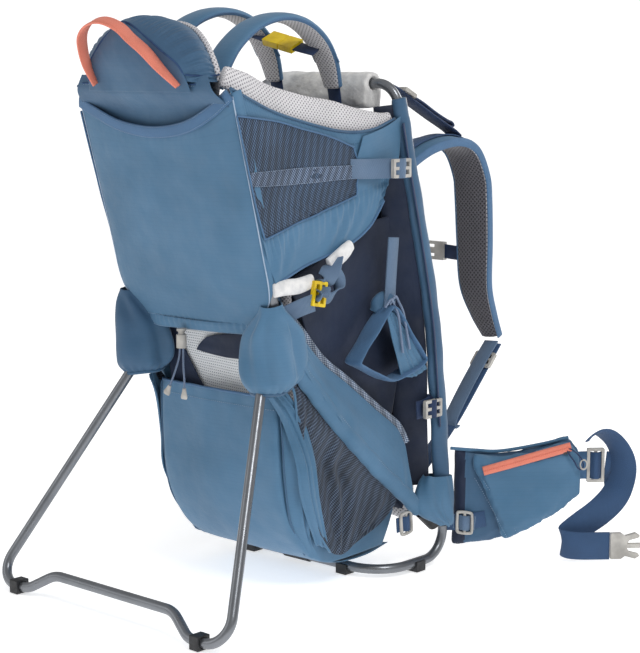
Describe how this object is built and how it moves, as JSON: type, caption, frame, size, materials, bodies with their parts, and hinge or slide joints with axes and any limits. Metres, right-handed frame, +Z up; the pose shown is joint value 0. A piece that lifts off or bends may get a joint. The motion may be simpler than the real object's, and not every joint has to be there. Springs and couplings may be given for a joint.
{
  "type": "framed child carrier backpack",
  "caption": "Framed backpack for carrying a small child, with a padded cockpit, fold-out kickstand, shoulder straps, hip belt and a storage bag under the seat.",
  "frame": {"origin": "on the floor, under the middle of the main frame's rear ground bar", "axes": "+X the wearer's right, +Y towards the wearer, +Z up"},
  "size_m": [0.6734, 0.6814, 0.736],
  "materials": {
    "frame_tube": "gun-metal satin anodised tube",
    "black_plastic": "moulded nylon, fine grain",
    "blue_fabric": "steel-blue ripstop",
    "navy_fabric": "dark navy plain weave",
    "light_mesh": "light grey spacer mesh",
    "white_fleece": "short white fleece",
    "coral_webbing": "coral flat webbing",
    "navy_webbing": "navy webbing",
    "yellow_plastic": "moulded acetal",
    "grey_plastic": "moulded acetal, satin",
    "grey_cord": "braided cord",
    "dark_metal": "dark plated zinc"
  },
  "bodies": {
    "carrier_frame": {"back_mesh_pads": "light_mesh", "child_back_panel": "navy_fabric", "chin_pad": "white_fleece", "cockpit_collar_left": "light_mesh", "cockpit_collar_right": "light_mesh", "cockpit_side_left": "blue_fabric", "cockpit_side_right": "blue_fabric", "cord_lock_body": "grey_plastic", "drawcords": "grey_cord", "frame_coupling_sleeve": "frame_tube", "grab_handle": "coral_webbing", "harness_buckle_female": "yellow_plastic", "harness_buckle_male": "yellow_plastic", "harness_pad_left": "blue_fabric", "harness_pad_right": "blue_fabric", "harness_webbing": "navy_webbing", "headrest_cushion": "blue_fabric", "hinge_cover_left": "blue_fabric", "hinge_cover_right": "blue_fabric", "hinge_knuckle_left": "black_plastic", "hinge_knuckle_right": "black_plastic", "leg_adjusters": "yellow_plastic", "leg_loops": "white_fleece", "load_lifters": "navy_webbing", "lower_corner_joints": "black_plastic", "lower_webbings": "navy_webbing", "lumbar_pad": "blue_fabric", "main_frame_tube": "frame_tube", "rear_frame_tube": "frame_tube", "rear_ground_clips": "black_plastic", "rear_pocket": "blue_fabric", "seat_cushion": "navy_fabric", "seat_side_left": "navy_fabric", "seat_side_right": "navy_fabric", "shoulder_strap_left": "blue_fabric", "shoulder_strap_right": "blue_fabric", "side_ground_clips": "black_plastic", "storage_bag": "blue_fabric", "strap_locks": "grey_plastic", "wearer_back_panel": "navy_fabric"},
    "kickstand": {"kickstand_tube": "frame_tube", "kickstand_eyelets": "black_plastic", "kickstand_feet": "black_plastic"},
    "hip_belt_right": {"hip_fin_right": "blue_fabric", "hip_pocket": "blue_fabric", "hip_lock_right": "grey_plastic", "hip_webbing_right": "navy_webbing", "hip_buckle_male": "grey_plastic"},
    "hip_belt_left": {"hip_fin_left": "blue_fabric", "hip_lock_left": "grey_plastic", "hip_webbing_left": "navy_webbing", "hip_buckle_female": "grey_plastic"},
    "zip_slider": {"hip_zip_slider": "dark_metal"},
    "sternum_strap": {"sternum_webbing": "navy_webbing", "sternum_sliders": "grey_plastic", "sternum_buckle": "grey_plastic"},
    "foot_stirrup_right": {"stirrup_right": "navy_fabric"},
    "foot_stirrup_left": {"stirrup_left": "navy_fabric"},
    "cord_lock_button": {"cord_lock_plunger": "grey_plastic"}
  },
  "joints": [
    {"name": "kickstand_fold", "type": "hinge", "parent": "carrier_frame", "child": "kickstand", "pos_m": [0, -0.16397, 0.32], "axis": [1, 0, 0], "range_deg": [0, 46]},
    {"name": "hip_fin_right_swing", "type": "hinge", "parent": "carrier_frame", "child": "hip_belt_right", "pos_m": [0.13, 0.14, 0.09], "axis": [0, 0, 1], "range_deg": [-12, 40]},
    {"name": "hip_fin_left_swing", "type": "hinge", "parent": "carrier_frame", "child": "hip_belt_left", "pos_m": [-0.13, 0.14, 0.09], "axis": [0, 0, -1], "range_deg": [-12, 40]},
    {"name": "zip_slide", "type": "slide", "parent": "hip_belt_right", "child": "zip_slider", "axis": [-0.6753, -0.6896, -0.2617], "range_m": [0, 0.09]},
    {"name": "sternum_height", "type": "slide", "parent": "carrier_frame", "child": "sternum_strap", "axis": [0, 0, 1], "range_m": [-0.02, 0.03]},
    {"name": "stirrup_right_swing", "type": "hinge", "parent": "carrier_frame", "child": "foot_stirrup_right", "pos_m": [0.139, 0.03, 0.449], "axis": [0, -1, 0], "range_deg": [0, 25]},
    {"name": "stirrup_left_swing", "type": "hinge", "parent": "carrier_frame", "child": "foot_stirrup_left", "pos_m": [-0.139, 0.03, 0.449], "axis": [0, 1, 0], "range_deg": [0, 25]},
    {"name": "cord_lock_press", "type": "slide", "parent": "carrier_frame", "child": "cord_lock_button", "axis": [0, 0, -1], "range_m": [0, 0.003], "stiffness_N_per_m": 300}
  ]
}
